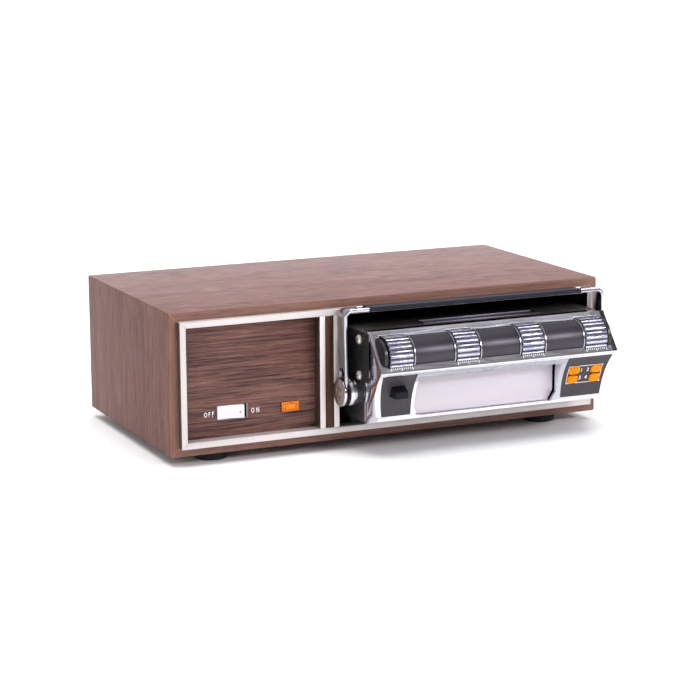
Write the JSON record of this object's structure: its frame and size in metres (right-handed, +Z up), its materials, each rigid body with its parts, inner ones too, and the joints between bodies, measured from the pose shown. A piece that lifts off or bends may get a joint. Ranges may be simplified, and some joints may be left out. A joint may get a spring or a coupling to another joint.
{
  "type": "8 track player",
  "caption": "Eight-track tape player with thumbwheels, tape door and carrying strap, sliding out of a walnut docking cabinet with a lit control panel.",
  "frame": {"origin": "centre of the bounding box, on the plane that the rubber feet stand on", "axes": "+Z up, +X to the right seen from the front, -Y out of the front towards the listener"},
  "size_m": [0.35, 0.242, 0.113],
  "materials": {
    "walnut_veneer": "satin walnut-grain covering",
    "walnut_fascia": "dark walnut-grain covering with level streaks",
    "plain_board": "bare fibre board",
    "bare_wood": "bare softwood",
    "satin_aluminium": "satin with fine lengthwise lines",
    "bright_chrome": "polished chrome plate",
    "wheel_chrome": "polished chrome plate on ribs",
    "strap_chrome": "chrome plated strap",
    "knob_chrome": "bright rim, satin face",
    "boss_silver": "turned, satin",
    "screw_steel": "bright plated",
    "switch_white": "semi-gloss moulding",
    "switch_black": "matte moulding",
    "pilot_amber": "translucent amber moulding",
    "track_amber": "translucent amber moulding",
    "black_steel": "black crackle-free semi-matte paint",
    "foot_rubber": "matte rubber",
    "charcoal_inlay": "matte charcoal",
    "pad_black": "fine turned grain",
    "door_silver": "satin",
    "button_black": "semi-matte",
    "connector_cream": "moulded nylon",
    "board_brown": "phenolic board",
    "transformer_steel": "varnished laminations",
    "capacitor_sleeve": "shrunk sleeve",
    "plated_steel": "zinc plated",
    "turned_steel": "turned and ground",
    "turned_brass": "turned",
    "cast_alloy": "cast",
    "head_shield": "lapped face",
    "belt_rubber": "ground rubber",
    "cam_nylon": "moulded nylon",
    "coil_amber": "taped winding on a plated frame",
    "fin_black": "black anodised",
    "washer_fibre": "fibre",
    "grip_vinyl": "smooth vinyl with a soft sheen"
  },
  "bodies": {
    "cabinet": {"top_panel": "walnut_veneer", "bottom_panel": "walnut_veneer", "left_side_panel": "walnut_veneer", "right_side_panel": "walnut_veneer", "rear_panel": "plain_board", "corner_blocks": "bare_wood", "trim_top": "satin_aluminium", "trim_bottom": "satin_aluminium", "trim_sides": "satin_aluminium", "divider_trim": "satin_aluminium", "divider_board": "walnut_fascia", "control_panel": "walnut_fascia", "rocker_housing": "switch_black", "pilot_lens": "pilot_amber", "dock_shell": "black_steel", "dock_connector": "connector_cream", "rubber_feet": "foot_rubber", "cabinet_screws": "screw_steel", "power_transformer": "transformer_steel", "filter_capacitors": "capacitor_sleeve", "power_board": "board_brown", "audio_jacks": "plated_steel", "cord_grommet": "foot_rubber"},
    "player": {"chassis_tray": "black_steel", "top_cover": "black_steel", "bezel": "bright_chrome", "bezel_inlays": "charcoal_inlay", "wheel_pads": "pad_black", "track_lenses": "track_amber", "track_lamps": "board_brown", "control_pots": "board_brown", "door_hinge_pin": "turned_steel", "door_spring": "turned_steel", "cartridge_well": "plated_steel", "amplifier_board": "board_brown", "heat_sink": "fin_black", "motor": "plated_steel", "drive_belt": "belt_rubber", "bearing_plate": "plated_steel", "solenoid": "coil_amber", "chassis_screws": "screw_steel", "pivot_bosses": "boss_silver", "rear_plug": "connector_cream"},
    "rocker": {"power_rocker": "switch_white"},
    "volume": {"volume_wheel": "wheel_chrome"},
    "tone": {"tone_wheel": "wheel_chrome"},
    "balance": {"balance_wheel": "wheel_chrome"},
    "fade": {"fade_wheel": "wheel_chrome"},
    "door": {"tape_door": "door_silver"},
    "button": {"program_button": "button_black"},
    "capstan": {"flywheel": "turned_steel"},
    "pulley": {"motor_pulley": "turned_brass"},
    "head": {"head_carriage": "cast_alloy", "tape_head": "head_shield"},
    "cam": {"program_cam": "cam_nylon"},
    "washers": {"strap_washers": "washer_fibre"},
    "handle": {"handle_strap": "strap_chrome", "handle_grip": "grip_vinyl"},
    "knob_left": {"clamp_knob_left": "knob_chrome"},
    "knob_right": {"clamp_knob_right": "knob_chrome"}
  },
  "joints": [
    {"name": "player_slide", "type": "slide", "parent": "cabinet", "child": "player", "axis": [0, -1, 0], "range_m": [0, 0.125]},
    {"name": "power_rocker_tilt", "type": "hinge", "parent": "cabinet", "child": "rocker", "pos_m": [-0.12678, -0.052, 0.03625], "axis": [0, 0, 1], "range_deg": [0, 14]},
    {"name": "handle_swing", "type": "hinge", "parent": "player", "child": "washers", "pos_m": [0.061, -0.0774, 0.0468], "axis": [1, 0, 0], "range_deg": [0, 115]},
    {"name": "handle_height", "type": "slide", "parent": "washers", "child": "handle", "axis": [0, 0.0366, 0.9993], "range_m": [-0.01, 0]},
    {"name": "clamp_knob_left_turn", "type": "hinge", "parent": "player", "child": "knob_left", "pos_m": [-0.048, -0.0774, 0.0468], "axis": [1, 0, 0], "continuous": true},
    {"name": "clamp_knob_right_turn", "type": "hinge", "parent": "player", "child": "knob_right", "pos_m": [0.17, -0.0774, 0.0468], "axis": [1, 0, 0], "continuous": true},
    {"name": "volume_turn", "type": "hinge", "parent": "player", "child": "volume", "pos_m": [-0.01955, -0.1053, 0.0768], "axis": [1, 0, 0], "range_deg": [-150, 150]},
    {"name": "tone_turn", "type": "hinge", "parent": "player", "child": "tone", "pos_m": [0.03415, -0.1053, 0.0768], "axis": [1, 0, 0], "range_deg": [-150, 150]},
    {"name": "balance_turn", "type": "hinge", "parent": "player", "child": "balance", "pos_m": [0.08785, -0.1053, 0.0768], "axis": [1, 0, 0], "range_deg": [-150, 150]},
    {"name": "fade_turn", "type": "hinge", "parent": "player", "child": "fade", "pos_m": [0.14155, -0.1053, 0.0768], "axis": [1, 0, 0], "range_deg": [-150, 150]},
    {"name": "tape_door_swing", "type": "hinge", "parent": "player", "child": "door", "pos_m": [0.0555, -0.0983, 0.0579], "axis": [1, 0, 0], "range_deg": [0, 88], "stiffness_Nm_per_rad": 0.01, "springref_deg": -28.65},
    {"name": "program_button_press", "type": "slide", "parent": "player", "child": "button", "axis": [0, 1, 0], "range_m": [0, 0.0025], "stiffness_N_per_m": 300, "springref_m": -0.002},
    {"name": "flywheel_spin", "type": "hinge", "parent": "player", "child": "capstan", "pos_m": [0.02, 0.001, 0.0655], "axis": [0, 0, 1], "continuous": true},
    {"name": "motor_pulley_spin", "type": "hinge", "parent": "player", "child": "pulley", "pos_m": [0.115, 0.019, 0.0655], "axis": [0, 0, 1], "continuous": true},
    {"name": "program_cam_turn", "type": "hinge", "parent": "player", "child": "cam", "pos_m": [0.056, 0.022, 0.0345], "axis": [0, 1, 0], "range_deg": [0, 180]},
    {"name": "head_lift", "type": "slide", "parent": "player", "child": "head", "axis": [0, 0, 1], "range_m": [0, 0.0024]}
  ],
  "couplings": [
    {"joint": "motor_pulley_spin", "follows": "flywheel_spin", "ratio": 5.8333},
    {"joint": "program_cam_turn", "follows": "head_lift", "rad_per_m": 1308.9}
  ]
}
